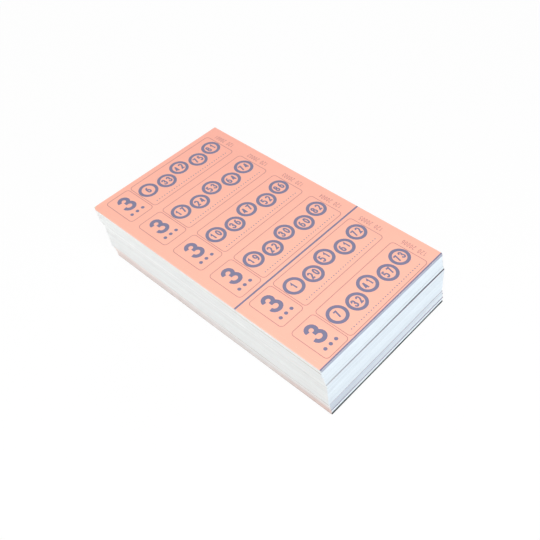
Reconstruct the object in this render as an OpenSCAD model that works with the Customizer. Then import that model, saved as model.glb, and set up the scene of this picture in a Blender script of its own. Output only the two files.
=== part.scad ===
// Stack of thin bingo ticket books, lying in bundles that have slipped a little on each other.
// Each book is a cover leaf and three game leaves, glued together along the spine.
// The top book is made leaf by leaf. The other books are closed.
// X runs from the glued spine to the fore edge, Y from the foot to the head, and Z up from the table.
// The origin is the middle of the lowest book's underside.

/* [Leaf] */
// Width of a leaf, from the spine to the fore edge
leaf_w = 153; // [120:1:200]
// Length of a leaf, from the foot to the head
leaf_l = 269.5; // [200:0.5:320]
// Thickness of the printing paper
leaf_t = 0.06; // [0.05:0.005:0.1]

/* [Binding] */
// Margin along the spine that stays down when a leaf is turned
margin_w = 4; // [3.5:0.5:8]
// Width of a glue line
glue_w = 2.5; // [1:0.1:2.8]
// Bare paper between the spine edge and a glue line
glue_inset = 0.5; // [0.2:0.1:0.7]
// Thickness of a dry glue line
glue_t = 0.005; // [0.004:0.001:0.01]

/* [Stack] */
// Books in the whole stack
stack_books = 250; // [150:10:300]
// Air between two books that lie loose on each other
air_t = 0.0075; // [0.005:0.0005:0.02]
// How far the top bundle has slipped to the spine side of the lowest one
slip_x = 8.3; // [0:0.1:12]
// How far the top bundle has slipped to the head side of the lowest one
slip_y = 4; // [0:0.1:8]
// How far a single book can stray from the middle of its bundle
stray = 0.25; // [0:0.05:0.5]

/* [Hidden] */
// Game leaves under the cover leaf of each book
games = 3;
// Share of the books in each bundle, top bundle first
bundle_shares = [0.144, 0.148, 0.04, 0.432, 0.072, 0.08, 0.084];
// Share of each slip that a bundle has, top bundle first
slip_x_shares = [1, 0.88, 0.73, 0.58, 0.28, 0.11, 0];
slip_y_shares = [1, 0.8, 0.15, 0.25, 0.22, 0.12, 0];
// Angle from one book to the next in the two waves that spread the stray
stray_turn_x = 137.5;
stray_turn_y = 74.3;

cover_colour = "#ffbea8";
game_colour = "#fdf8ef";
book_colour = "#eef1f2";
glue_colour = "#e8e2d0";

bundles = len(bundle_shares);
bundle_counts = [for (share = bundle_shares) round(share * stack_books)];
leaf_pitch = leaf_t + glue_t;
book_t = leaf_t + games * leaf_pitch;
book_pitch = book_t + air_t;

// Books that lie under bundle b
function books_under(b) = b == bundles ? 0 : bundle_counts[b] + books_under(b + 1);
// Number of the highest book in the stack, counted up from the lowest one at zero
top_book = books_under(1) + bundle_counts[0] - 1;
// Highest closed book of bundle b: in the first bundle it lies just under the top book
function highest(b) = books_under(b) + bundle_counts[b - 1] - (b == 1 ? 2 : 1);
// Lower spine and foot corner of book n, which belongs to bundle b
function corner(b, n) = [
    -leaf_w / 2 - slip_x * slip_x_shares[b - 1] + stray * sin(n * stray_turn_x),
    -leaf_l / 2 + slip_y * slip_y_shares[b - 1] + stray * sin(n * stray_turn_y),
    n * book_pitch
];
// Height of a leaf above its book's underside: leaf zero is the cover, and the last game lies lowest
function leaf_z(leaf) = (games - leaf) * leaf_pitch;

function numbered(before, last, after) = [for (i = [1 : last]) str(before, i, after)];

// Closed books of bundle b, the highest one without the cover leaf that it shows
module bundle_books(b)
    color(book_colour)
        for (n = [books_under(b) : highest(b)])
            translate(corner(b, n))
                cube([leaf_w, leaf_l, n == highest(b) ? book_t - leaf_t : book_t]);

// Cover leaf that bundle b shows when what lies on it is lifted off
module bundle_cover(b)
    color(cover_colour)
        translate(corner(b, highest(b)))
            translate([0, 0, book_t - leaf_t])
                cube([leaf_w, leaf_l, leaf_t]);

// Places a strip of the top book, which starts at x from the spine edge and at z above the underside
module in_top_book(x, z)
    translate(corner(1, top_book))
        translate([x, 0, z])
            children();

// The part of a leaf of the top book that turns
module turning_leaf(leaf)
    color(leaf == 0 ? cover_colour : game_colour)
        in_top_book(margin_w, leaf_z(leaf))
            cube([leaf_w - margin_w, leaf_l, leaf_t]);

// The glued margin that the same leaf leaves behind
module glued_margin(leaf)
    color(leaf == 0 ? cover_colour : game_colour)
        in_top_book(0, leaf_z(leaf))
            cube([margin_w, leaf_l, leaf_t]);

// Glue line on top of a game leaf's margin
module glue_line(leaf)
    color(glue_colour)
        in_top_book(glue_inset, leaf_z(leaf) + leaf_t)
            cube([glue_w, leaf_l, glue_t]);

for (b = [1 : bundles]) {
    bundle_books(b);
    bundle_cover(b);
}
turning_leaf(0);  // top_book_cover_leaf
glued_margin(0);  // top_book_cover_margin
for (game = [1 : games]) {
    turning_leaf(game);
    glued_margin(game);
    glue_line(game);
}
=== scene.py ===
"""Dresses a stack of thin bingo ticket books for its portrait.

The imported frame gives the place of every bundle, leaf and fold. This script gives the bundles their
leaf edges, the leaves their paper and print, and the stack its light, floor and camera.
X runs from the glued spine to the fore edge, Y from the foot to the head of a page, and Z up.
"""

import logging
from dataclasses import dataclass, field
from enum import Enum
from functools import cached_property
from math import cos, radians, sin
from typing import Sequence, Union

import bpy
import numpy as np
from mathutils import Matrix, Vector


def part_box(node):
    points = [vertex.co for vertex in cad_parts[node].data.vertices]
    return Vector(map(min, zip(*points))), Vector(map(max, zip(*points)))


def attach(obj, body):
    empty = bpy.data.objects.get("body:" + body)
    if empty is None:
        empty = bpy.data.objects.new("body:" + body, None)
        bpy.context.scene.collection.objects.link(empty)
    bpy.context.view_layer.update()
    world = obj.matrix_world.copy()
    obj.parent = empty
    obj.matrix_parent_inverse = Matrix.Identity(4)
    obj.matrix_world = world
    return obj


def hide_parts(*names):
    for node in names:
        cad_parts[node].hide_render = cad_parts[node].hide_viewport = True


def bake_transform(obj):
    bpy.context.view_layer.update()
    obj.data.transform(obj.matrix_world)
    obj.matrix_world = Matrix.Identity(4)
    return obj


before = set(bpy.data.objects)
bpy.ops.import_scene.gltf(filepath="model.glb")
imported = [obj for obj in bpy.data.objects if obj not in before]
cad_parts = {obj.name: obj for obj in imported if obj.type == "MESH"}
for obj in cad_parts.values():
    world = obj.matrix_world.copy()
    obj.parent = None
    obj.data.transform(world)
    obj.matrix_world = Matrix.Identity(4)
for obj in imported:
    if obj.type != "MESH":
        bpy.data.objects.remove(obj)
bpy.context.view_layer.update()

MM = 1e-3
BUNDLES = 7
GAMES = 3
TINY = 1e-12
WHITE = (1.0, 1.0, 1.0, 1.0)
log = logging.getLogger("ticket_books")

Pair = tuple[float, float]
Triple = tuple[float, float, float]
Quad = tuple[float, float, float, float]
Colour = Triple
Radii = Quad
Material = bpy.types.Material
Array = np.ndarray
Place = Sequence[float]
Number = Union["Value", float]
Inputs = dict[Union[str, int], object]

# Sockets of a Mix node that belong to its colours
MIX_FIRST, MIX_SECOND, MIX_RESULT = 6, 7, 2

# Least share of a direction that makes a point belong to a side
FACING = 0.7

# Directions to the corners of a page, counter-clockwise from spine and foot, and their radii in that order
CORNERS = ((-1, -1), (1, -1), (1, 1), (-1, 1))
SQUARE: Radii = (0.6 * MM, 0.6 * MM, 0.6 * MM, 0.6 * MM)
WORN: Radii = (0.8 * MM, 0.8 * MM, 0.8 * MM, 4.2 * MM)


def linear(colour: Colour) -> Quad:
    """Turns a screen colour into the light that a shader works with, by the sRGB curve.

    Args:
        colour: Red, green and blue from 0 to 255, as a screen shows them.

    Returns:
        The same colour in linear light, with an alpha of one.
    """
    share = np.asarray(colour, float) / 255.0
    light = np.where(share <= 0.04045, share / 12.92, ((share + 0.055) / 1.055) ** 2.4)
    return (*light.tolist(), 1.0)


@dataclass(frozen=True)
class Value:
    """One output of a node, which Python expressions can use as a number."""

    graph: "Graph"
    socket: bpy.types.NodeSocket

    def _math(self, operation: str, first: Number, second: Number) -> "Value":
        """Adds one Math node on two numbers."""
        return self.graph.value("Math", {0: first, 1: second}, operation=operation)

    def __add__(self, other: Number) -> "Value":
        """Adds a number to this one."""
        return self._math("ADD", self, other)

    def __rsub__(self, other: Number) -> "Value":
        """Takes this number from a plain one."""
        return self._math("SUBTRACT", other, self)

    def __mul__(self, other: Number) -> "Value":
        """Multiplies this number by another."""
        return self._math("MULTIPLY", self, other)

    __radd__, __rmul__ = __add__, __mul__

    def over(self, spread: Pair) -> "Value":
        """Gives the first number of a spread plus this share of the second."""
        return spread[0] + spread[1] * self


@dataclass(frozen=True)
class Noise:
    """A noise: its spots along a metre of X, Y and Z, its number of finer layers and how strong these are."""

    per_metre: Triple
    detail: float = 3.0
    rough: float = 0.6


class Graph:
    """The node tree of one material or of the world, built from calls."""

    def __init__(self, name: str, world: bool = False) -> None:
        """Makes a new material or world with an empty node tree.

        Args:
            name: Its name.
            world: Whether it is a world.
        """
        self.owner = (bpy.data.worlds if world else bpy.data.materials).new(name)
        self.owner.use_nodes = True
        self.tree = self.owner.node_tree
        self.tree.nodes.clear()

    def node(self, kind: str, inputs: Inputs | None = None, **settings: object) -> bpy.types.Node:
        """Adds one node.

        Args:
            kind: Blender's name for its type, after the word ShaderNode.
            inputs: What goes into its inputs: numbers, colours and outputs of other nodes.
            settings: Its properties, which are set first.

        Returns:
            The new node.
        """
        made = self.tree.nodes.new(f"ShaderNode{kind}")
        for name, setting in settings.items():
            setattr(made, name, setting)
        for key, given in (inputs or {}).items():
            if isinstance(given, Value):
                self.tree.links.new(given.socket, made.inputs[key])
            else:
                made.inputs[key].default_value = given
        return made

    def value(self, kind: str, inputs: Inputs | None = None, output: str | int = 0, **settings: object) -> Value:
        """Adds one node, as node() does, and returns one of its outputs."""
        return Value(self, self.node(kind, inputs, **settings).outputs[output])

    def attribute(self, name: str) -> Value:
        """Reads a number that the mesh carries."""
        return self.value("Attribute", output="Fac", attribute_name=name)

    def _place(self, operation: str, per_metre: Triple, output: str | int = 0) -> Value:
        """Works out a product of the object's own coordinates and a vector."""
        place = self.value("TexCoord", output="Object")
        return self.value("VectorMath", {0: place, 1: per_metre}, output, operation=operation)

    def slope(self, per_metre: Triple) -> Value:
        """Gives a number that is zero at the origin and grows by so much along a metre of X, Y and Z."""
        return self._place("DOT_PRODUCT", per_metre, "Value")

    def noise(self, kind: Noise) -> Value:
        """Adds a noise over the object's own coordinates, which runs from about 0.2 to 0.8."""
        inputs = {"Scale": 1.0, "Detail": kind.detail, "Roughness": kind.rough}
        return self.value("TexNoise", inputs | {"Vector": self._place("MULTIPLY", kind.per_metre)})

    def mix(self, share: Number, first: object, second: object, blend: str = "MIX") -> Value:
        """Mixes two colours: a share of zero gives the first, and a share of one the second or its blend with it."""
        inputs = {"Factor": share, MIX_FIRST: first, MIX_SECOND: second}
        return self.value("Mix", inputs, MIX_RESULT, data_type="RGBA", clamp_factor=True, blend_type=blend)

    def shade(self, colour: object, amount: Number) -> Value:
        """Multiplies a colour by a grey amount."""
        grey = self.value("CombineColor", {0: amount, 1: amount, 2: amount})
        return self.mix(1.0, colour, grey, "MULTIPLY")

    def matt(self, colour: object, roughness: Number, relief: Value, depth: float, sheen: float) -> Material:
        """Closes the material with one matt surface.

        Args:
            colour: Colour of the surface.
            roughness: Its roughness.
            relief: Its relief, from zero to one.
            depth: How high a relief of one is.
            sheen: How much it mirrors, where a half is usual.

        Returns:
            The finished material.
        """
        bump = self.value("Bump", {"Strength": 1.0, "Distance": depth, "Height": relief})
        inputs = {"Base Color": colour, "Roughness": roughness, "Specular IOR Level": sheen, "Normal": bump}
        self.node("OutputMaterial", {"Surface": self.value("BsdfPrincipled", inputs)})
        return self.owner


@dataclass(frozen=True)
class PrintedPaper:
    """Thin paper, tinted all over on its printed side and bare on its back and cut edges.

    Towards the corner of head and fore edge the tint turns into a deeper painted shade, where the light falls off.
    """

    name: str
    tint: Colour
    # Painted shade: the tint at the corner of head and fore edge, and how fast it comes on per metre.
    heavy: Colour
    heavy_per_metre: Triple = (6.7, 3.7, 0.0)
    bare: Colour = (238, 236, 230)
    fibres: Noise = Noise((900.0, 1440.0, 900.0), 4.0, 0.7)
    clouds: Noise = Noise((55.0, 55.0, 55.0), 2.0)
    specks: Noise = Noise((2700.0, 2700.0, 2700.0), 1.0)
    fibre_depth: float = 0.012 * MM
    fibre_tone: float = 0.06
    cloud_tone: float = 0.06
    speck_tone: float = 0.02
    rough: Pair = (0.72, 0.2)
    sheen: float = 0.35

    def make(self) -> Material:
        """Mixes tint and bare paper by the printed mark, with fibres, faint clouds and specks in both.

        Returns:
            The paper's material.
        """
        graph = Graph(self.name)
        fibres, clouds, specks = (graph.noise(kind) for kind in (self.fibres, self.clouds, self.specks))
        even = 1.0 - (self.fibre_tone + self.cloud_tone + self.speck_tone) / 2
        tone = even + self.fibre_tone * fibres + self.cloud_tone * clouds + self.speck_tone * specks
        # Painted shade: the tint deepens towards the corner of head and fore edge.
        tint = graph.mix(graph.slope(self.heavy_per_metre), linear(self.tint), linear(self.heavy))
        paper = graph.mix(graph.attribute("printed"), linear(self.bare), tint)
        return graph.matt(graph.shade(paper, tone), fibres.over(self.rough), fibres, self.fibre_depth, self.sheen)


@dataclass(frozen=True)
class LeafEdges:
    """Cut edges of many leaves: cooler at the foot, with the print's colour at the cuts, painted shade in the seams
    and painted light and shade on the spine and foot.
    """

    name: str = "leaf_edges"
    cool: Colour = (230, 238, 243)
    plain: Colour = (239, 242, 242)
    salmon: Colour = (236, 186, 170)
    slate: Colour = (140, 148, 178)
    # The next two colours are the seams' painted shade, at the foot and at the spine.
    gap: Colour = (44, 50, 56)
    worn: Colour = (150, 124, 114)
    lines: Noise = Noise((45.0, 45.0, 3800.0))
    fibres: Noise = Noise((600.0, 600.0, 1500.0))
    ink_streaks: Pair = (0.6, 0.8)
    seam_streaks: Pair = (0.8, 0.4)
    even: float = 0.92
    # Weight of the tone mark, which holds random tone and the spine's painted light and shade.
    leaf_tone: float = 0.05
    line_tone: float = 0.1
    fibre_tone: float = 0.04
    # Strength of the painted shade across the spine and the foot.
    soiling: float = 0.12
    fibre_depth: float = 0.02 * MM
    rough: Pair = (0.8, 0.15)
    sheen: float = 0.25

    def make(self) -> Material:
        """Mixes the papers by the side that a point is on, tints the cuts of printed leaves, paints light and shade
        across the spine and foot, and paints shade into the seams.

        Returns:
            The material of the leaf edges.
        """
        graph = Graph(self.name)
        lines, fibres = graph.noise(self.lines), graph.noise(self.fibres)
        foot = graph.attribute("foot")
        pairs = ((self.plain, self.cool), (self.salmon, self.slate), (self.worn, self.gap))
        paper, ink, seam = (graph.mix(foot, linear(side), linear(end)) for side, end in pairs)
        cut = graph.mix(graph.attribute("ink") * lines.over(self.ink_streaks), paper, ink)
        tone = self.even + self.leaf_tone * graph.attribute("tone") + self.line_tone * lines + self.fibre_tone * fibres
        # Painted shade: darker on the spine towards the foot and on the foot towards the spine, lighter at the foot's
        # fore end.
        painted_shade_factor = 1 - self.soiling * graph.attribute("soil")
        # Painted shade in the seams.
        seam_shade = graph.attribute("seam_shade") * lines.over(self.seam_streaks)
        lined = graph.mix(seam_shade, graph.shade(cut, painted_shade_factor * tone), seam)
        return graph.matt(lined, fibres.over(self.rough), lines, self.fibre_depth, self.sheen)


@dataclass(frozen=True)
class Coat:
    """Ink or glue that lies a little unevenly on the paper."""

    name: str
    tint: Colour
    thin: Colour
    grain: Noise = Noise((1400.0, 1400.0, 1400.0), 3.0, 0.65)
    clouds: Noise = Noise((70.0, 70.0, 70.0), 2.0)
    even: float = 0.84
    grain_tone: float = 0.22
    cloud_tone: float = 0.1
    grain_depth: float = 0.004 * MM
    rough: Pair = (0.6, 0.2)
    sheen: float = 0.4

    def make(self) -> Material:
        """Lightens the coat in small grains and broad clouds, and lets the paper show through thin lines.

        Returns:
            The coat's material.
        """
        graph = Graph(self.name)
        grain, clouds = graph.noise(self.grain), graph.noise(self.clouds)
        coat = graph.mix(graph.attribute("fine"), linear(self.tint), linear(self.thin))
        tone = self.even + self.grain_tone * grain + self.cloud_tone * clouds
        return graph.matt(graph.shade(coat, tone), grain.over(self.rough), grain, self.grain_depth, self.sheen)


DRY_GLUE = Coat(
    name="dry_glue",
    tint=(232, 226, 208),
    thin=(232, 226, 208),
    grain=Noise((400.0, 120.0, 400.0), 2.0),
    even=0.9,
    grain_tone=0.2,
    cloud_tone=0.0,
    grain_depth=0.01 * MM,
    rough=(0.35, 0.4),
    sheen=0.5,
)


@dataclass
class Shell:
    """A mesh in the making: points, blocks of faces with as many corners, and numbers that the points carry."""

    points: Array
    faces: list[Array]
    marks: dict[str, Array] = field(default_factory=dict)

    def put(self, name: str, finish: Material) -> bpy.types.Object:
        """Makes the mesh an object at the origin.

        Args:
            name: Name of the piece.
            finish: Its material.

        Returns:
            The new object, linked to the scene.
        """
        mesh = bpy.data.meshes.new(name)
        mesh.from_pydata(self.points.tolist(), [], [face for block in self.faces for face in block.tolist()])
        for mark, numbers in self.marks.items():
            layer = mesh.attributes.new(mark, "FLOAT", "POINT")
            layer.data.foreach_set("value", np.asarray(numbers, np.float32).ravel())
        mesh.materials.append(finish)
        piece = bpy.data.objects.new(name, mesh)
        bpy.context.scene.collection.objects.link(piece)
        return piece


def join(shells: Sequence[Shell]) -> Shell:
    """Puts several shells into one.

    Args:
        shells: Shells that carry the same marks.

    Returns:
        One shell with all their points, faces and marks.
    """
    starts = np.cumsum([0] + [len(shell.points) for shell in shells])
    faces = [block + start for shell, start in zip(shells, starts) for block in shell.faces]
    marks = {name: np.concatenate([shell.marks[name] for shell in shells]) for name in shells[0].marks}
    return Shell(np.concatenate([shell.points for shell in shells]), faces, marks)


def grid_faces(rows: int, columns: int, closed: bool = False) -> Array:
    """Numbers the faces of a grid of points that is counted row by row.

    Args:
        rows: Number of rows.
        columns: Number of points in a row.
        closed: Whether the last column is joined to the first.

    Returns:
        One line of four point numbers for each face.
    """
    row, column = np.meshgrid(np.arange(rows - 1), np.arange(columns if closed else columns - 1), indexing="ij")
    beside = (column + 1) % columns
    near, far = row * columns, (row + 1) * columns
    return np.stack([near + column, near + beside, far + beside, far + column], -1).reshape(-1, 4)


def arc(middle: Place, radii: Pair | float, start: float, end: float, steps: int) -> Array:
    """Walks along an ellipse: its middle plus its radii times the cosine and sine of a turning angle.

    Args:
        middle: Middle of the ellipse.
        radii: Its radii along X and Y, or the radius of a circle.
        start: First angle in degrees.
        end: Last angle.
        steps: Steps from the one to the other.

    Returns:
        The points of the walk, with both ends.
    """
    turn = np.radians(np.linspace(start, end, steps + 1))
    return np.asarray(middle) + np.stack([np.cos(turn), np.sin(turn)], -1) * radii


def rounded(low: Place, high: Place, radii: Radii, steps: int, run: float) -> Array:
    """Walks round a rectangle counter-clockwise: quarter circles with even steps between them.

    Args:
        low: Its lower left corner, where the walk starts.
        high: Its upper right corner.
        radii: Radius at each corner.
        steps: Steps in each corner.
        run: Longest step between two corners.

    Returns:
        The points of the walk, without the first one again at its end.
    """
    bends = []
    for quarter, (radius, turn) in enumerate(zip(radii, np.array(CORNERS))):
        middle = np.where(turn < 0, low, high) - radius * turn
        bends.append(arc(middle, radius, 180 + 90 * quarter, 270 + 90 * quarter, steps))
    walk = []
    for bend, following in zip(bends, bends[1:] + bends[:1]):
        gap = following[0] - bend[-1]
        count = max(int(np.ceil(np.hypot(*gap) / run)), 1)
        walk += [bend, bend[-1] + gap * (np.arange(1, count) / count)[:, None]]
    return np.concatenate(walk)


def figure_paths(figure: str, steps: int = 6) -> list[Array]:
    """Gives the paths of a plain figure in a box that is one wide and one high: arcs of ellipses and straight lines.

    Args:
        figure: One of the ten figures, or a blank.
        steps: Steps in the shortest arc.

    Returns:
        The paths, each from end to end.
    """
    half = 2 * steps
    ring = 3 * steps
    line = np.array
    if figure == "9":
        return [1 - path for path in figure_paths("6", steps)]
    shapes: dict[str, list[Array]] = {
        "0": [arc((0.5, 0.5), 0.5, 0, 360, ring)],
        "1": [line([[0.08, 0.74], [0.58, 1.0], [0.58, 0.0]])],
        "2": [np.concatenate([arc((0.5, 0.7), (0.47, 0.3), 165, -30, half), [[0.03, 0.0], [1.0, 0.0]]])],
        "3": [
            arc((0.48, 0.76), (0.43, 0.24), 184, -84, half),
            arc((0.48, 0.27), (0.52, 0.27), 84, -184, half),
            line([[0.34, 0.53], [0.56, 0.53]]),
        ],
        "4": [line([[0.72, 0.0], [0.72, 1.0]]), line([[0.72, 1.0], [0.0, 0.27], [1.0, 0.27]])],
        "5": [line([[0.92, 1.0], [0.16, 1.0], [0.1, 0.5]]), arc((0.45, 0.32), (0.55, 0.32), 138, -150, half)],
        "6": [arc((0.5, 0.31), (0.5, 0.31), 0, 360, ring), arc((0.64, 0.4), (0.64, 0.6), 68, 190, steps)],
        "7": [line([[0.0, 1.0], [1.0, 1.0], [0.36, 0.0]])],
        "8": [arc((0.5, 0.77), (0.41, 0.23), 0, 360, ring), arc((0.5, 0.27), (0.5, 0.27), 0, 360, ring)],
    }
    return shapes.get(figure, [])


@dataclass
class Pen:
    """Draws print on a page as flat pieces of ink that face up.

    It is given the spine and foot corner of the page, on the paper, and how far the ink lies above the paper.
    """

    corner: Place
    lift: float
    layer: float = 0.003 * MM
    layers: int = 4
    sharpest: float = 0.45
    spacing: Pair = (0.6, 0.08)
    drawn: list[Shell] = field(default_factory=list)

    def stroke(self, path: Array, width: float, fine: bool = False) -> None:
        """Draws one path as a strip, half its width to each side of the path.

        At each point the side is square to the mean of the two steps that meet there, and longer in a corner, so
        that the strip keeps its width.

        Args:
            path: Points on the page, from its spine and foot corner. It is closed if its ends meet.
            width: Width of the stroke.
            fine: Whether it is a thin line, whose ink lets the paper show through.
        """
        closed = np.allclose(path[0], path[-1])
        path = path[:-1] if closed else path
        ahead = np.roll(path, -1, 0) - path
        ahead /= np.maximum(np.hypot(*ahead.T)[:, None], TINY)
        behind = np.roll(ahead, 1, 0)
        if not closed:
            ahead[-1], behind[0] = behind[-1], ahead[0]
        along = ahead + behind
        along /= np.maximum(np.hypot(*along.T)[:, None], TINY)
        stretch = 1 / np.maximum((along * ahead).sum(1), self.sharpest)
        side = np.stack([-along[:, 1], along[:, 0]], -1) * (stretch * width / 2)[:, None]
        flat = np.stack([path + side, path - side], 1)
        if closed:
            flat = np.concatenate([flat, flat[:1]])
        self._lay(flat.reshape(-1, 2), grid_faces(len(flat), 2), fine)

    def dot(self, middle: Place, across: float, sides: int = 14) -> None:
        """Draws a round dot as one many-sided face."""
        self._lay(arc(middle, across / 2, 0, 360, sides)[:-1], np.arange(sides)[None], False)

    def write(self, text: str, middle: Place, size: Triple, serial: bool = False) -> None:
        """Writes a number. Its paths keep half a stroke away from the box of a figure, so that the ink fills the box.

        Args:
            text: Figures, with blanks between groups.
            middle: Middle of the number on the page.
            size: Height and width of a figure, and the width of its strokes.
            serial: Whether it is a serial number, which reads up the page in thin lines.
        """
        high, wide, stroke = size
        step = wide + self.spacing[0] * stroke + self.spacing[1] * high
        for place, figure in enumerate(text):
            start = (place - len(text) / 2) * step + (step - wide) / 2
            for path in figure_paths(figure):
                across = start + stroke / 2 + path[:, 0] * (wide - stroke)
                up = (path[:, 1] - 0.5) * (high - stroke)
                flat = np.stack([-up, across], -1) if serial else np.stack([across, up], -1)
                self.stroke(flat + np.asarray(middle), stroke, serial)

    def _lay(self, flat: Array, faces: Array, fine: bool) -> None:
        """Lays one piece of ink on the page, a hair above or below the piece before it.

        Args:
            flat: Its points on the page.
            faces: Its faces.
            fine: Whether it is a thin line.
        """
        level = self.lift + (len(self.drawn) % self.layers) * self.layer
        points = np.column_stack([flat, np.full(len(flat), level)]) + self.corner
        self.drawn.append(Shell(points, [faces], {"fine": np.full(len(flat), float(fine))}))

    def shell(self) -> Shell:
        """Gives all that was drawn as one shell."""
        return join(self.drawn)


@dataclass(frozen=True)
class TicketStrip:
    """Six bingo tickets that share the numbers from 1 to 90, each number once."""

    seed: int
    tickets: int = 6
    columns: int = 9
    rows: int = 3
    highest: int = 90
    decade: int = 10
    single_in_column: tuple[int, ...] = (3, 2, 2, 2, 2, 2, 2, 2, 1)

    def deal(self) -> Array:
        """Deals the numbers, fifteen to a ticket and five to a row.

        Three columns of a ticket have one number and six have two. The columns with one are dealt round the
        tickets. The row that such a column fills, or another leaves out, moves on by one from column to column.

        Returns:
            Numbers by ticket, row and column, with zero where a cell is blank.
        """
        shuffle = np.random.default_rng(self.seed)
        lone = np.repeat(np.arange(self.columns), self.single_in_column)
        single = np.zeros((self.tickets, self.columns), bool)
        single[np.arange(len(lone)) % self.tickets, lone] = True
        cells = np.zeros((self.tickets, self.rows, self.columns), int)
        for column in range(self.columns):
            low = max(self.decade * column, 1)
            end = self.highest + 1 if column == self.columns - 1 else self.decade * (column + 1)
            pile = shuffle.permutation(np.arange(low, end)).tolist()
            for ticket in range(self.tickets):
                before = int((single[ticket, :column] == single[ticket, column]).sum())
                marked = (before + ticket) % self.rows
                rows = [marked] if single[ticket, column] else [row for row in range(self.rows) if row != marked]
                cells[ticket, rows, column] = sorted(pile.pop() for _ in rows)
        return cells


class PageKind(Enum):
    """What a page is printed with."""

    COVER = "cover"
    GAME = "game"


@dataclass(frozen=True)
class Panel:
    """One panel of a page: a small field with a number, and a wide one with balls or a ticket.

    It is given its pen, its lower edge, the numbers of its ticket and the number for the small field.
    """

    pen: Pen
    foot: float
    cells: Array
    game: int
    high: float = 36.3 * MM
    number_field: Pair = (10.2 * MM, 36.0 * MM)
    wide_field: Pair = (37.9 * MM, 137.4 * MM)
    corner_radius: float = 3.2 * MM
    corner_steps: int = 5
    run: float = 4.0 * MM
    hairline: float = 0.66 * MM
    figure: Triple = (19.8 * MM, 13.2 * MM, 3.7 * MM)
    figure_down: float = 14.0 * MM
    pip: float = 3.4 * MM
    pip_pitch: float = 6.2 * MM
    pip_up: float = 7.3 * MM
    ball: float = 18.6 * MM
    ball_ring: float = 0.16
    ball_up: float = 0.56
    ball_wave: float = 0.08
    ball_waves: int = 2
    ball_steps: int = 32
    ball_figure: Triple = (8.0 * MM, 4.1 * MM, 1.5 * MM)
    bead: float = 1.1 * MM
    bead_pitch: float = 3.0 * MM
    bead_up: float = 4.2 * MM
    bead_inset: float = 6.0 * MM
    bead_sides: int = 8
    ticket_inset: float = 3.0 * MM
    cell_steps: int = 4
    ticket_figure: Triple = (6.4 * MM, 3.5 * MM, 0.95 * MM)

    def outline(self, span: Pair) -> None:
        """Draws the thin line round one field.

        Args:
            span: Left and right edge of the field.
        """
        low, high = zip(span, (self.foot, self.foot + self.high))
        walk = rounded(low, high, (self.corner_radius,) * len(CORNERS), self.corner_steps, self.run)
        self.pen.stroke(np.append(walk, walk[:1], 0), self.hairline, fine=True)

    def number(self) -> None:
        """Draws the small field with the number of games or of the game, and as many dots under it."""
        self.outline(self.number_field)
        middle = sum(self.number_field) / 2
        self.pen.write(str(self.game), (middle, self.foot + self.high - self.figure_down), self.figure)
        for place in (np.arange(self.game) - (self.game - 1) / 2) * self.pip_pitch:
            self.pen.dot((middle + place, self.foot + self.pip_up), self.pip)

    def balls(self) -> None:
        """Draws the ticket's first row as numbered balls in a wave, each a thick ring, over a row of beads."""
        numbers = self.cells[0][self.cells[0] > 0]
        radius = (1 - self.ball_ring) * self.ball / 2
        left, right = self.wide_field
        for place, number in zip((np.arange(len(numbers)) + 0.5) / len(numbers), numbers):
            height = self.ball_up + self.ball_wave * cos(radians(360 * self.ball_waves * place))
            middle = np.array([left + place * (right - left), self.foot + self.high * height])
            self.pen.stroke(arc(middle, radius, 0, 360, self.ball_steps), self.ball_ring * self.ball)
            self.pen.write(str(number), middle, self.ball_figure)
        for place in np.arange(left, right - 2 * self.bead_inset, self.bead_pitch):
            self.pen.dot((place + self.bead_inset, self.foot + self.bead_up), self.bead, self.bead_sides)

    def ticket(self) -> None:
        """Draws the ticket: a grid of rows and columns with its numbers."""
        rows, columns = self.cells.shape
        left, right = self.wide_field[0] + self.ticket_inset, self.wide_field[1] - self.ticket_inset
        cell = (right - left) / columns
        low = self.foot + (self.high - rows * cell) / 2
        for upright in np.linspace(left, right, columns + 1):
            self.pen.stroke(np.array([[upright, low], [upright, low + rows * cell]]), self.hairline, fine=True)
        across = np.linspace(left, right, self.cell_steps * columns + 1)
        for level in low + np.arange(rows + 1) * cell:
            self.pen.stroke(np.column_stack([across, np.full(len(across), level)]), self.hairline, fine=True)
        for row, column in np.argwhere(self.cells > 0):
            middle = (left + (column + 0.5) * cell, low + (rows - 0.5 - row) * cell)
            self.pen.write(str(self.cells[row, column]), middle, self.ticket_figure)


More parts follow.
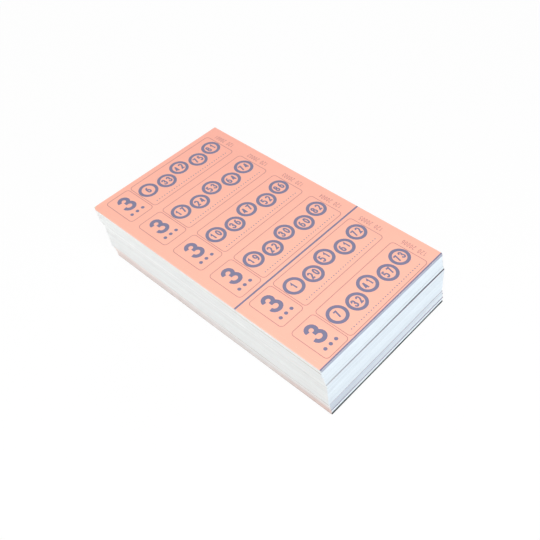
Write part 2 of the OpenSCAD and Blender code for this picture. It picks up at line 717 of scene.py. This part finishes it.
@dataclass(frozen=True)
class PagePrint:
    """The print of one page: six panels in a column, ruled lines and serial numbers."""

    kind: PageKind
    seed: int
    game: int = GAMES
    panels: int = 6
    pitch: float = 44.95 * MM
    lowest: float = 2.9 * MM
    rule: float = 1.7 * MM
    rule_after: int = 2
    foot_rule: float = 1.25 * MM
    foot_gap: float = 0.02 * MM
    serial: Triple = (5.2 * MM, 2.0 * MM, 0.55 * MM)
    serial_at: float = 143.0 * MM
    first_batch: int = 100
    first_serial: int = 20001
    lift: float = 0.02 * MM
    run: float = 4.0 * MM
    fold_reach: float = 8.0 * MM
    fold_run: float = 0.25 * MM

    def draw(self, corner: Place, span: Pair, whole: bool = True) -> Shell:
        """Draws a page, or only the ruled lines, which are all that crosses a glued margin.

        Args:
            corner: Spine and foot corner of the page, on the paper.
            span: Where the drawn part of the page starts and ends, from the spine edge.
            whole: Whether the panels are drawn too.

        Returns:
            The print of that part.
        """
        pen = Pen(corner, self.lift)
        self._rules(pen, span)
        for place, cells in enumerate(TicketStrip(self.seed).deal() if whole else ()):
            panel = Panel(pen, self.lowest + (self.panels - 1 - place) * self.pitch, cells, self.game)
            panel.number()
            panel.outline(panel.wide_field)
            if self.kind is PageKind.COVER:
                panel.balls()
            else:
                panel.ticket()
            serial = f"{self.first_batch + self.seed:03d} {self.first_serial + place:05d}"
            pen.write(serial, (self.serial_at, panel.foot + panel.high / 2), self.serial, serial=True)
        return pen.shell()

    def _rules(self, pen: Pen, span: Pair) -> None:
        """Draws the lines across the page, in short steps where the page bends: at the foot and between two panels.

        Args:
            pen: What they are drawn with.
            span: Where they start and end, from the spine edge.
        """
        left, right = span
        between = self.lowest + self.rule_after * self.pitch - (self.pitch - Panel.high) / 2
        bent = np.arange(left, min(left + self.fold_reach, right), self.fold_run)
        across = np.concatenate([bent, np.arange(bent[-1] + self.fold_run, right - self.run / 2, self.run), [right]])
        for height, width in ((between, self.rule), (self.foot_gap + self.foot_rule / 2, self.foot_rule)):
            pen.stroke(np.column_stack([across, np.full(len(across), height)]), width)


@dataclass(frozen=True)
class Paper:
    """A thin sheet as a closed slab, with round corners and closer lines where it folds."""

    low: Array
    high: Array
    radii: Radii
    fold: Pair | None = None
    fold_steps: int = 20
    corner_steps: int = 3
    rough_step: float = 7.0 * MM
    decimals: int = 6

    def shell(self) -> Shell:
        """Builds the slab.

        The upper side is a grid. A point past the middle of a corner's arc is drawn towards that middle by the
        ratio of its longer reach to its distance, which bends the square corner into the arc. The underside is the
        same grid one thickness lower, and a strip round the edge joins the two.

        Returns:
            The slab, with its upper side marked as printed.
        """
        x = self._stops(0, [] if self.fold is None else np.linspace(*self.fold, self.fold_steps + 1))
        y = self._stops(1, [])
        flat = np.stack(np.meshgrid(x, y), -1).reshape(-1, 2)
        for radius, turn in zip(self.radii, np.array(CORNERS)):
            edge = np.where(turn < 0, self.low[:2], self.high[:2])
            past = (flat - edge) * turn + radius
            inside = (past > 0).all(1)
            reach = past[inside]
            drawn = reach * (reach.max(1) / np.maximum(np.hypot(*reach.T), TINY))[:, None]
            flat[inside] = edge + (drawn - radius) * turn
        count = len(flat)
        points = np.column_stack([np.tile(flat, (2, 1)), np.repeat([self.high[2], self.low[2]], count)])
        numbers = np.arange(count).reshape(len(y), len(x))
        ring = np.concatenate([numbers[0, :-1], numbers[:-1, -1], numbers[-1, :0:-1], numbers[:0:-1, 0]])
        beside = np.roll(ring, -1)
        top = grid_faces(len(y), len(x))
        rim = np.stack([ring + count, beside + count, beside, ring], -1)
        return Shell(points, [top, top[:, ::-1] + count, rim], {"printed": np.repeat([1.0, 0.0], count)})

    def _stops(self, axis: int, more: Sequence[float]) -> Array:
        """Spaces the grid's lines along one axis, closer together at both edges for the corners.

        Args:
            axis: Zero for X and one for Y.
            more: Further places that get a line.

        Returns:
            The places of the lines, from the low to the high edge.
        """
        low, high = self.low[axis], self.high[axis]
        edge = np.linspace(0, max(self.radii), self.corner_steps + 1)
        even = np.linspace(low, high, max(int((high - low) / self.rough_step), 1) + 1)
        stops = np.unique(np.round(np.concatenate([low + edge, high - edge, even, more]), self.decimals))
        return np.concatenate([[low], stops[(stops > low) & (stops < high)], [high]])


class Side(Enum):
    """A side of the stack, by the direction that it faces."""

    SPINE = (-1.0, 0.0)
    FOOT = (0.0, -1.0)
    FORE = (1.0, 0.0)
    HEAD = (0.0, 1.0)

    def facing(self, out: Array) -> Array:
        """Tells for each outward direction how far it faces this side, from zero to one."""
        return np.clip(out @ np.array(self.value), 0, 1)

    def holds(self, out: Array) -> Array:
        """Tells for each outward direction whether it belongs to this side."""
        return self.facing(out) > FACING

    def along(self, walk: Array) -> Array:
        """Gives each point's place along this side, from zero at the spine or the foot to one."""
        run = walk[:, 1] if self.value[0] else walk[:, 0]
        return (run - run.min()) / np.ptp(run)


@dataclass(frozen=True)
class Seam:
    """A line of painted shade along one side of a bundle, such as the shade in a gap between two books or along the
    floor.

    Its depth below the bundle's top, as a share of the bundle's height, and its strength change evenly along the
    side. The first number of each is for the spine or the foot.
    """

    side: Side
    depth: Pair
    strength: Pair
    high: float
    sharp: float = 5.0

    def mark(self, block: "LeafBlock") -> Array:
        """Gives the line's strength on a bundle.

        Args:
            block: The bundle's leaf edges.

        Returns:
            One row for each leaf, with one strength for each point round it.
        """
        share = self.side.along(block.walk)
        strength = np.interp(share, (0, 1), self.strength) * self.side.holds(block.out)
        middle = np.interp(share, (0, 1), self.depth) * block.height
        off = np.abs(block.depth[:, None] - middle) / (self.high / 2)
        return np.clip((1 - off) * self.sharp, 0, 1) * strength


@dataclass(frozen=True)
class EdgeLook:
    """How the leaf edges of one bundle look.

    The drift is the share of the step to the bundle below that the leaves take up between their top and bottom.
    The foot ink is how strongly the print's colour shows at the foot, from spine to fore edge, and the side ink
    elsewhere: at the foot, in between and at the head. The flare is how far the leaves right under the top one
    stand out at the foot.
    The spine number is painted light and shade: how much paler, or darker where it is negative, the spine is painted
    to offset the shade of the bundles that overhang it. The top pair is painted light that makes the spine paler again
    near the top, at the foot and at the head.
    """

    drift: float = 0.4
    foot_ink: Pair = (0.04, 0.04)
    side_ink: Triple = (0.0, 0.0, 0.0)
    flare: float = 0.0
    spine_tone: float = 0.0
    top_tone: Pair = (0.0, 0.0)
    seams: tuple[Seam, ...] = ()


@dataclass(frozen=True)
class LeafBlock:
    """The leaf edges of the closed books of one bundle, as one closed surface.

    Strays and tones are the spread of what varies from group to group, from book to book and from leaf to leaf.
    Each wave has its count round the stack, its share of the height and how fast its phase drifts.
    """

    low: Array
    high: Array
    leaves: int
    seed: int
    radii: Radii
    drift: Array
    look: EdgeLook
    leaves_per_book: int = GAMES + 1
    group_share: float = 0.16
    strays: Triple = (0.13 * MM, 0.07 * MM, 0.02 * MM)
    tones: Triple = (0.3, 0.35, 0.3)
    # How far below the top the painted light on the spine reaches.
    top_reach: float = 7.0 * MM
    waves: tuple[Triple, ...] = ((5, 1.0, 1.0), (11, 0.6, -2.0))
    wave_high: float = 0.06 * MM
    wave_drift: float = 0.25
    flare_depth: float = 1.3 * MM
    flare_ink: float = 0.6
    cover_ink: float = 0.14
    ink_dip: float = 0.3
    # Share of the painted shade, and of its painted light at the fore end, that lies on the foot.
    foot_soil: float = 0.3
    edge_share: float = 0.86
    corner_steps: int = 3
    run: float = 10.5 * MM

    @property
    def height(self) -> float:
        """Height of the block."""
        return self.high[2] - self.low[2]

    @property
    def depth(self) -> Array:
        """How deep the middle of each leaf lies below the top, from the lowest leaf up."""
        return self.height * (1 - (np.arange(self.leaves) + 0.5) / self.leaves)

    @cached_property
    def walk(self) -> Array:
        """Points round the outline of a leaf."""
        return rounded(self.low[:2], self.high[:2], self.radii, self.corner_steps, self.run)

    @cached_property
    def out(self) -> Array:
        """Outward direction at each of these points."""
        ahead = np.roll(self.walk, -1, 0) - np.roll(self.walk, 1, 0)
        return np.stack([ahead[:, 1], -ahead[:, 0]], -1) / np.hypot(*ahead.T)[:, None]

    @cached_property
    def stray(self) -> np.random.Generator:
        """What everything that varies is drawn from: first the owners, then the lines, then the marks."""
        return np.random.default_rng(self.seed)

    @cached_property
    def owners(self) -> list[Array]:
        """Numbers the group, the book and the place of every leaf, from the lowest leaf up.

        Returns:
            Three arrays with one number for each leaf.
        """
        number = np.arange(self.leaves)
        book = number // self.leaves_per_book
        group = np.cumsum(self.stray.random(book[-1] + 1) < self.group_share)[book]
        return [group, book, number]

    def shell(self) -> Shell:
        """Builds the block.

        One parameter runs round a leaf's outline and the other up the leaves, with one line of points at the
        lower and one at the upper edge of each leaf.

        Returns:
            The closed surface with the marks that its finish reads.
        """
        rows, columns = 2 * self.leaves, len(self.walk)
        points = np.empty((rows, columns, 3))
        points[..., :2] = np.repeat(self._lines(), 2, 0)
        points[..., 2] = self._levels()[:, None]
        rim = np.arange(columns)
        caps = np.stack([rim[::-1], rim + (rows - 1) * columns])
        doubled = {name: np.repeat(mark, 2, 0).ravel() for name, mark in self._marks().items()}
        return Shell(points.reshape(-1, 3), [grid_faces(rows, columns, closed=True), caps], doubled)

    def _lines(self) -> Array:
        """Lays out every leaf.

        A leaf's line is the outline, moved by the bundle's drift and by the strays of its group, its book and its
        own. Long low waves push it outwards, with a phase that drifts from leaf to leaf, and so does the flare.

        Returns:
            Places by leaf and point.
        """
        moved = (self.depth / self.height)[:, None] * self.drift
        for owner, reach in zip(self.owners, self.strays):
            moved = moved + self.stray.normal(0, reach, (owner[-1] + 1, 2))[owner]
        phase = np.cumsum(self.stray.normal(0, self.wave_drift, self.leaves))[:, None]
        turn = np.linspace(0, 2 * np.pi, len(self.walk), endpoint=False)
        pushed = self.wave_high * sum(share * np.sin(count * turn + lag * phase) for count, share, lag in self.waves)
        flared = np.sin(np.pi / 2 * np.clip(self.depth / self.flare_depth, 0, 1))
        pushed = pushed + self.look.flare * np.outer(flared, Side.FOOT.facing(self.out))
        return self.walk + moved[:, None] + pushed[..., None] * self.out

    def _levels(self) -> Array:
        """Stacks the lines: a leaf fills a share of its pitch, and the outermost lines meet the box.

        Returns:
            Heights of the lower and the upper line of each leaf, in turn.
        """
        pitch = self.height / self.leaves
        lower = self.low[2] + pitch * (np.arange(self.leaves) + (1 - self.edge_share) / 2)
        levels = np.stack([lower, lower + pitch * self.edge_share], -1).ravel()
        levels[[0, -1]] = self.low[2], self.high[2]
        return levels

    def _marks(self) -> dict[str, Array]:
        """Works out the numbers that the finish reads.

        Returns:
            Tone with the spine's painted light and shade, ink, the seams' painted shade, foot, and painted shade
            across spine and foot, each by leaf and point.
        """
        every = np.ones((self.leaves, len(self.walk)))
        foot, spine, at_foot = Side.FOOT.facing(self.out), Side.SPINE.facing(self.out), Side.FOOT.holds(self.out)
        up, across = Side.SPINE.along(self.walk), Side.FOOT.along(self.walk)
        drawn = zip(self.owners, self.tones)
        tone = sum(self.stray.normal(0, reach, owner[-1] + 1)[owner] for owner, reach in drawn)
        cover = self.owners[-1] % self.leaves_per_book == self.leaves_per_book - 1
        side_ink = np.interp(up, (0, self.ink_dip, 1), self.look.side_ink)
        foot_ink = np.interp(across, (0, 1), self.look.foot_ink)
        ink = np.where(at_foot, foot_ink, side_ink) + self.cover_ink * cover[:, None]
        if self.look.flare > 0:
            ink = np.maximum(ink, self.flare_ink * np.outer(self.depth < self.flare_depth, at_foot))
        # Painted shade of the seams.
        seam_shade = np.max([seam.mark(self) for seam in self.look.seams] + [0 * every], 0)
        near_top = np.clip(1 - self.depth / self.top_reach, 0, 1)
        # Painted light and shade on the spine, offsetting the shade of the overhanging bundles.
        pale = self.look.spine_tone + np.outer(near_top, np.interp(up, (0, 1), self.look.top_tone))
        tones = tone[:, None] + pale * spine
        # Painted shade: darker on the spine towards the foot and on the foot towards the spine, lighter at the foot's
        # fore end.
        soil = spine * (1 - up) + self.foot_soil * foot * (1 - 2 * across)
        return {"tone": tones, "ink": ink, "seam_shade": seam_shade, "foot": foot * every, "soil": soil * every}


@dataclass
class Finishes:
    """The materials of the whole stack, each made once."""

    # Each paper's second colour is the painted shade at the corner of head and fore edge.
    cover: Material = field(default_factory=PrintedPaper("cover_paper", (255, 188.5, 168), (255, 182, 164)).make)
    game: Material = field(default_factory=PrintedPaper("game_paper", (240, 240, 235), (237, 237, 231)).make)
    edges: Material = field(default_factory=LeafEdges().make)
    cover_ink: Material = field(default_factory=Coat("cover_ink", (126, 124, 153), (200, 140, 137)).make)
    game_ink: Material = field(default_factory=Coat("game_ink", (84, 92, 140), (140, 146, 178)).make)
    glue: Material = field(default_factory=DRY_GLUE.make)


def corners(node: str) -> tuple[Array, Array]:
    """Gives the lowest and the highest corner of a node of the frame, in metres."""
    low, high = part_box(node)
    return np.array(low, float), np.array(high, float)


def report(piece: bpy.types.Object, body: str) -> None:
    """Logs one piece with its faces and the name of a body."""
    log.info("%s: %d faces, on %s", piece.name, len(piece.data.polygons), body)


@dataclass
class Bundle:
    """One bundle of closed books with the printed cover leaf that lies on top of it."""

    number: int
    finishes: Finishes
    look: EdgeLook
    leaf_pitch: float = 0.0656 * MM
    first_seed: int = 40

    def build(self) -> None:
        """Makes the leaf edges, the cover leaf and its print, and lets them move with the bundle."""
        body = f"bundle_{self.number}"
        low, high = corners(f"{body}_books")
        cover_low, cover_high = corners(f"{body}_cover")
        radii = WORN if self.number == 1 else SQUARE
        leaves = round((high[2] - low[2]) / self.leaf_pitch)
        step = corners(f"bundle_{self.number + 1}_cover")[0] - cover_low if self.number < BUNDLES else np.zeros(3)
        base, crown = np.append(cover_low[:2], low[2]), np.append(cover_high[:2], high[2])
        block = LeafBlock(base, crown, leaves, self.number, radii, self.look.drift * step[:2], self.look)
        edges = block.shell().put(f"{body}_leaf_edges", self.finishes.edges)
        cover = Paper(cover_low, cover_high, radii).shell().put(f"{body}_cover_leaf", self.finishes.cover)
        page = PagePrint(PageKind.COVER, self.first_seed + self.number)
        ink = page.draw(np.append(cover_low[:2], cover_high[2]), (0.0, cover_high[0] - cover_low[0]))
        inked = ink.put(f"{body}_cover_print", self.finishes.cover_ink)
        for piece, slot in ((edges, "book_paper"), (cover, "cover_paper"), (inked, "cover_paper")):
            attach(piece, body)
            report(piece, body)
        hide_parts(f"{body}_books")
        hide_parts(f"{body}_cover")


@dataclass
class TopBook:
    """The top book, leaf by leaf, each leaf with closer lines near its fold."""

    finishes: Finishes
    bend: float = 6.0 * MM
    slack: float = 0.05 * MM
    margin_steps: int = 4
    first_seed: int = 20

    def build(self) -> None:
        """Makes the cover leaf, the game leaves and their margins, from the top down."""
        bodies = ["cover_leaf"] + [f"game_leaf_{game}" for game in range(1, GAMES + 1)] + ["top_book"]
        for leaf, (body, under) in enumerate(zip(bodies, bodies[1:])):
            self._leaf(leaf, body)
        for line in range(1, GAMES + 1):
            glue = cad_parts[f"top_book_glue_line_{line}"]
            glue.data.materials.clear()
            glue.data.materials.append(self.finishes.glue)
            report(glue, "top_book")

    def _leaf(self, leaf: int, body: str) -> None:
        """Makes one leaf with its margin and the print on both.

        Args:
            leaf: Zero for the cover, or the number of the game.
            body: Name of the turning part's body, which its pieces are named and logged by.
        """
        node, margin = f"top_book_{body}", f"top_book_{body.replace('leaf', 'margin')}"
        low, high = corners(node)
        edge_low, edge_high = corners(margin)
        if leaf == 0:
            kind, slot, finish, press = PageKind.COVER, "cover_paper", self.finishes.cover, self.finishes.cover_ink
        else:
            kind, slot, finish, press = PageKind.GAME, "game_paper", self.finishes.game, self.finishes.game_ink
        fold, reach = low[0], low[0] + self.bend
        sheet = Paper(low + [self.slack, 0, 0], high, (0.0, WORN[1], WORN[2], 0.0), (fold, reach))
        strip = Paper(edge_low, edge_high, (WORN[0], 0.0, 0.0, WORN[3]), (edge_low[0], fold), self.margin_steps)
        page = PagePrint(kind, self.first_seed + leaf, leaf or GAMES)
        place = np.append(edge_low[:2], high[2])
        inner, outer = fold - edge_low[0], high[0] - edge_low[0]
        turned = sheet.shell().put(f"{body}_sheet", finish)
        printed = page.draw(place, (inner, outer)).put(f"{body}_print", press)
        glued = strip.shell().put(f"{body}_margin", finish)
        ruled = page.draw(place, (0.0, inner), whole=False).put(f"{body}_margin_print", press)
        for piece in (turned, printed):
            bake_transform(piece)
            report(piece, body)
        for piece in (glued, ruled):
            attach(piece, "top_book")
            report(piece, "top_book")
        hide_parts(node)
        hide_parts(margin)


@dataclass(frozen=True)
class Lamp:
    """A square soft lamp that faces the stack."""

    name: str
    place: Triple
    size: float
    power: float

    def hang(self) -> None:
        """Adds the lamp to the scene, out of the camera's sight."""
        light = bpy.data.lights.new(self.name, "AREA")
        light.size = self.size
        light.energy = self.power
        hung = bpy.data.objects.new(self.name, light)
        hung.location = self.place
        hung.rotation_euler = Vector(self.place).to_track_quat("Z", "Y").to_euler()
        hung.visible_camera = False
        bpy.context.scene.collection.objects.link(hung)


@dataclass(frozen=True)
class Studio:
    """Floor, light and camera round the stack.

    The heading is counted from +Y towards +X, the fall is how far the camera looks down, and both are in degrees.
    """

    eye: Triple = (-0.3125, -0.3263, 0.506)
    heading: float = 43.44
    fall: float = 47.68
    roll: float = -4.678
    lens: float = 48.59
    sensor: float = 36.0
    nearest: float = 0.01
    floor_half: float = 12.0
    floor_drop: float = 0.05 * MM
    floor_tint: Colour = (250, 250, 250)
    floor_clouds: Noise = Noise((6.0, 6.0, 6.0), 2.0)
    floor_tone: Pair = (0.97, 0.04)
    floor_glow: float = 0.93
    soft_light: float = 0.455
    lamps: tuple[Lamp, ...] = (
        Lamp("key", (-0.4, -0.55, 0.82), 0.75, 7.95),
        Lamp("side", (-1.2, 0.25, 0.3), 0.6, 2.5),
        Lamp("back", (1.1, 1.2, 0.55), 0.6, 8.5),
    )

    def build(self) -> None:
        """Sets up everything that isn't part of the object."""
        bpy.context.scene.view_settings.view_transform = "Standard"
        self._floor()
        self._world()
        for lamp in self.lamps:
            lamp.hang()
        self._camera()

    def _floor(self) -> None:
        """Lays a pale floor that the camera sees nearly white, with the stack's shadow on it."""
        graph = Graph("studio_floor")
        tone = graph.noise(self.floor_clouds).over(self.floor_tone)
        matt = graph.value("BsdfDiffuse", {"Color": graph.shade(linear(self.floor_tint), tone)})
        glow = graph.value("Emission", {"Color": WHITE, "Strength": 1.0})
        rays = ("Is Camera Ray", "Is Glossy Ray", "Is Transmission Ray")
        seen = self.floor_glow * sum(graph.value("LightPath", output=ray) for ray in rays)
        mixed = graph.value("MixShader", {0: seen, 1: matt, 2: glow})
        graph.node("OutputMaterial", {"Surface": mixed})
        level = np.full((len(CORNERS), 1), -self.floor_drop)
        flat = np.hstack([self.floor_half * np.array(CORNERS), level])
        Shell(flat, [np.arange(len(CORNERS))[None]]).put("studio_floor", graph.owner)

    def _world(self) -> None:
        """Lights the scene softly from all sides, with white behind it."""
        graph = Graph("studio_world", world=True)
        soft = graph.value("Background", {"Color": WHITE, "Strength": self.soft_light})
        behind = graph.value("Background", {"Color": WHITE, "Strength": 1.0})
        seen = graph.value("LightPath", output="Is Camera Ray")
        mixed = graph.value("MixShader", {0: seen, 1: soft, 2: behind})
        graph.node("OutputWorld", {"Surface": mixed})
        bpy.context.scene.world = graph.owner

    def _camera(self) -> None:
        """Sets the camera by its place, heading, fall and roll."""
        heading, fall, roll = radians(self.heading), radians(self.fall), radians(self.roll)
        ahead = Vector((sin(heading) * cos(fall), cos(heading) * cos(fall), -sin(fall)))
        level = Vector((cos(heading), -sin(heading), 0.0))
        right = cos(roll) * level + sin(roll) * level.cross(ahead)
        turned = Matrix((right, right.cross(ahead), -ahead)).transposed().to_4x4()
        camera = bpy.data.cameras.new("portrait")
        camera.lens = self.lens
        camera.sensor_width = self.sensor
        camera.clip_start = self.nearest
        held = bpy.data.objects.new("portrait", camera)
        held.matrix_world = Matrix.Translation(self.eye) @ turned
        bpy.context.scene.collection.objects.link(held)
        bpy.context.scene.camera = held


BOTTOM = (1.0, 1.0)
# Seams are painted shade in gaps between books and along the floor; the spine numbers are painted light and shade.
EDGE_LOOKS: dict[int, EdgeLook] = {
    1: EdgeLook(drift=0.5, flare=0.8 * MM, spine_tone=-0.3, seams=(
        Seam(Side.SPINE, (0.42, 0.38), (0.65, -0.45), 0.8 * MM),
        Seam(Side.SPINE, BOTTOM, (0.2, 0.05), 0.4 * MM),
        Seam(Side.FOOT, BOTTOM, (0.3, 0.0), 0.4 * MM),
    )),
    2: EdgeLook(drift=0.85, spine_tone=0.2, seams=(
        Seam(Side.FOOT, (0.58, 0.54), (0.15, 0.5), 0.45 * MM),
        Seam(Side.FOOT, BOTTOM, (0.3, 1.15), 2.2 * MM),
        Seam(Side.SPINE, BOTTOM, (0.25, 0.0), 0.4 * MM),
    )),
    3: EdgeLook(drift=0.8, spine_tone=0.2, seams=(
        Seam(Side.SPINE, BOTTOM, (0.2, 0.0), 0.4 * MM),
    )),
    4: EdgeLook(drift=0.55, spine_tone=-0.9, top_tone=(1.9, 3.6), seams=(
        Seam(Side.SPINE, BOTTOM, (0.95, 0.1), 0.8 * MM),
        Seam(Side.FOOT, BOTTOM, (0.2, 0.65), 0.7 * MM),
    )),
    5: EdgeLook(foot_ink=(0.3, 0.1), side_ink=(0.04, 0.03, 0.26), spine_tone=1.6, seams=(
        Seam(Side.SPINE, BOTTOM, (0.15, 0.3), 0.5 * MM),
        Seam(Side.FOOT, (0.6, 0.6), (0.2, 0.3), 0.35 * MM),
    )),
    6: EdgeLook(foot_ink=(0.22, 0.04), side_ink=(0.2, 0.03, 0.26), spine_tone=-0.6, seams=(
        Seam(Side.SPINE, BOTTOM, (0.4, 0.5), 0.5 * MM),
        Seam(Side.FOOT, (0.5, 0.5), (0.08, 0.0), 6.0 * MM),
    )),
    7: EdgeLook(foot_ink=(0.0, 0.0), side_ink=(0.46, 0.13, 0.3), spine_tone=-1.5, seams=(
        Seam(Side.FOOT, BOTTOM, (1.0, 1.0), 4.3 * MM, 12.0),
        Seam(Side.SPINE, BOTTOM, (1.0, 0.8), 1.2 * MM),
    )),
}


def main() -> None:
    """Builds the stack from the table up, then the studio, and notes how large it came out."""
    logging.basicConfig(level=logging.INFO, format="%(message)s")
    finishes = Finishes()
    for number in range(BUNDLES, 0, -1):
        Bundle(number, finishes, EDGE_LOOKS[number]).build()
    TopBook(finishes).build()
    Studio().build()


if __name__ == "__main__":
    main()
